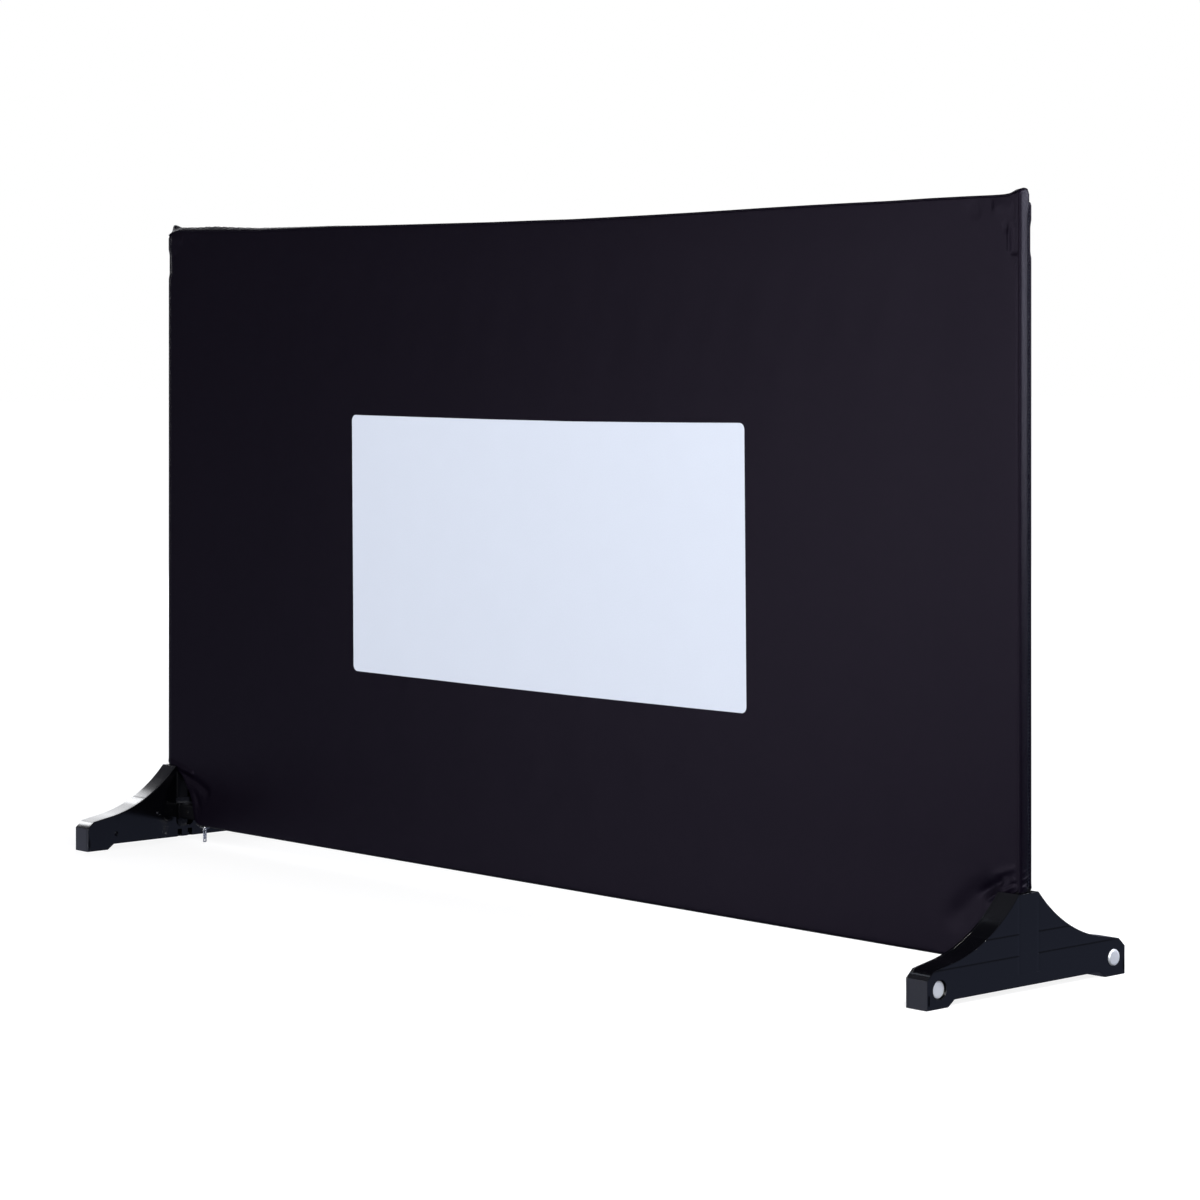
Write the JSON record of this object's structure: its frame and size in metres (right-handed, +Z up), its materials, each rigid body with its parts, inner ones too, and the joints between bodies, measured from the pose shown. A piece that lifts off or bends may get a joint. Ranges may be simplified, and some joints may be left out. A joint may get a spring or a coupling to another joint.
{
  "type": "table tennis court barrier",
  "caption": "Free-standing court barrier: stretch fabric sleeve over a tube frame on plug-on feet with linking discs, zipped along the bottom edge.",
  "frame": {"origin": "on the floor, under the middle of the panel", "axes": "+X along the panel to the right as seen from the front, +Y out of the panel's back, +Z up"},
  "size_m": [1.403, 0.289, 0.769],
  "materials": {
    "frame_steel": "black powder coat, satin",
    "fitting_plastic": "black moulded plastic",
    "foot_plastic": "black moulded plastic, satin gloss",
    "zinc_fixing": "zinc plated",
    "disc_nickel": "bright nickel plate",
    "cover_fabric": "matt black stretch polyester",
    "zip_tape": "black woven tape",
    "zip_teeth": "black nylon coil",
    "zip_metal": "silver plated zinc"
  },
  "bodies": {
    "frame": {"upright_left": "frame_steel", "upright_right": "frame_steel", "top_rail": "frame_steel", "bottom_rail": "frame_steel", "bottom_corner_left": "fitting_plastic", "bottom_corner_right": "fitting_plastic", "top_corner_left": "fitting_plastic", "top_corner_right": "fitting_plastic", "rivet_upright_top_left": "zinc_fixing", "rivet_upright_top_right": "zinc_fixing", "rivet_upright_bottom_left": "zinc_fixing", "rivet_upright_bottom_right": "zinc_fixing", "rivet_top_rail_left": "zinc_fixing", "rivet_top_rail_right": "zinc_fixing", "rivet_bottom_rail_left": "zinc_fixing", "rivet_bottom_rail_right": "zinc_fixing", "cover_front": "cover_fabric", "cover_back": "cover_fabric", "cover_top": "cover_fabric", "cover_side_left": "cover_fabric", "cover_side_right": "cover_fabric", "zip_tape_front": "zip_tape", "zip_tape_back": "zip_tape", "zip_teeth_front": "zip_teeth", "zip_teeth_back": "zip_teeth", "zip_stop_left": "zip_metal", "zip_stop_right": "zip_metal"},
    "left_foot": {"foot_shell_left": "foot_plastic", "foot_plate_left": "foot_plastic", "foot_screw_left_1": "zinc_fixing", "foot_screw_left_2": "zinc_fixing", "foot_screw_left_3": "zinc_fixing", "foot_screw_left_4": "zinc_fixing", "link_disc_proud_left": "disc_nickel", "link_disc_sunk_left": "disc_nickel"},
    "right_foot": {"foot_shell_right": "foot_plastic", "foot_plate_right": "foot_plastic", "foot_screw_right_1": "zinc_fixing", "foot_screw_right_2": "zinc_fixing", "foot_screw_right_3": "zinc_fixing", "foot_screw_right_4": "zinc_fixing", "link_disc_proud_right": "disc_nickel", "link_disc_sunk_right": "disc_nickel"},
    "zip_slider": {"zip_slider": "zip_metal"},
    "zip_pull": {"zip_pull": "zip_metal"}
  },
  "joints": [
    {"name": "left_foot_pull_off", "type": "slide", "parent": "frame", "child": "left_foot", "axis": [0, 0, -1], "range_m": [0, 0.08]},
    {"name": "right_foot_pull_off", "type": "slide", "parent": "frame", "child": "right_foot", "axis": [0, 0, -1], "range_m": [0, 0.08]},
    {"name": "zip_run", "type": "slide", "parent": "frame", "child": "zip_slider", "axis": [1, 0, 0], "range_m": [0, 1.262]},
    {"name": "pull_swing", "type": "hinge", "parent": "zip_slider", "child": "zip_pull", "pos_m": [-0.631, 0, 0.01955], "axis": [0, 1, 0], "range_deg": [-80, 80]}
  ]
}
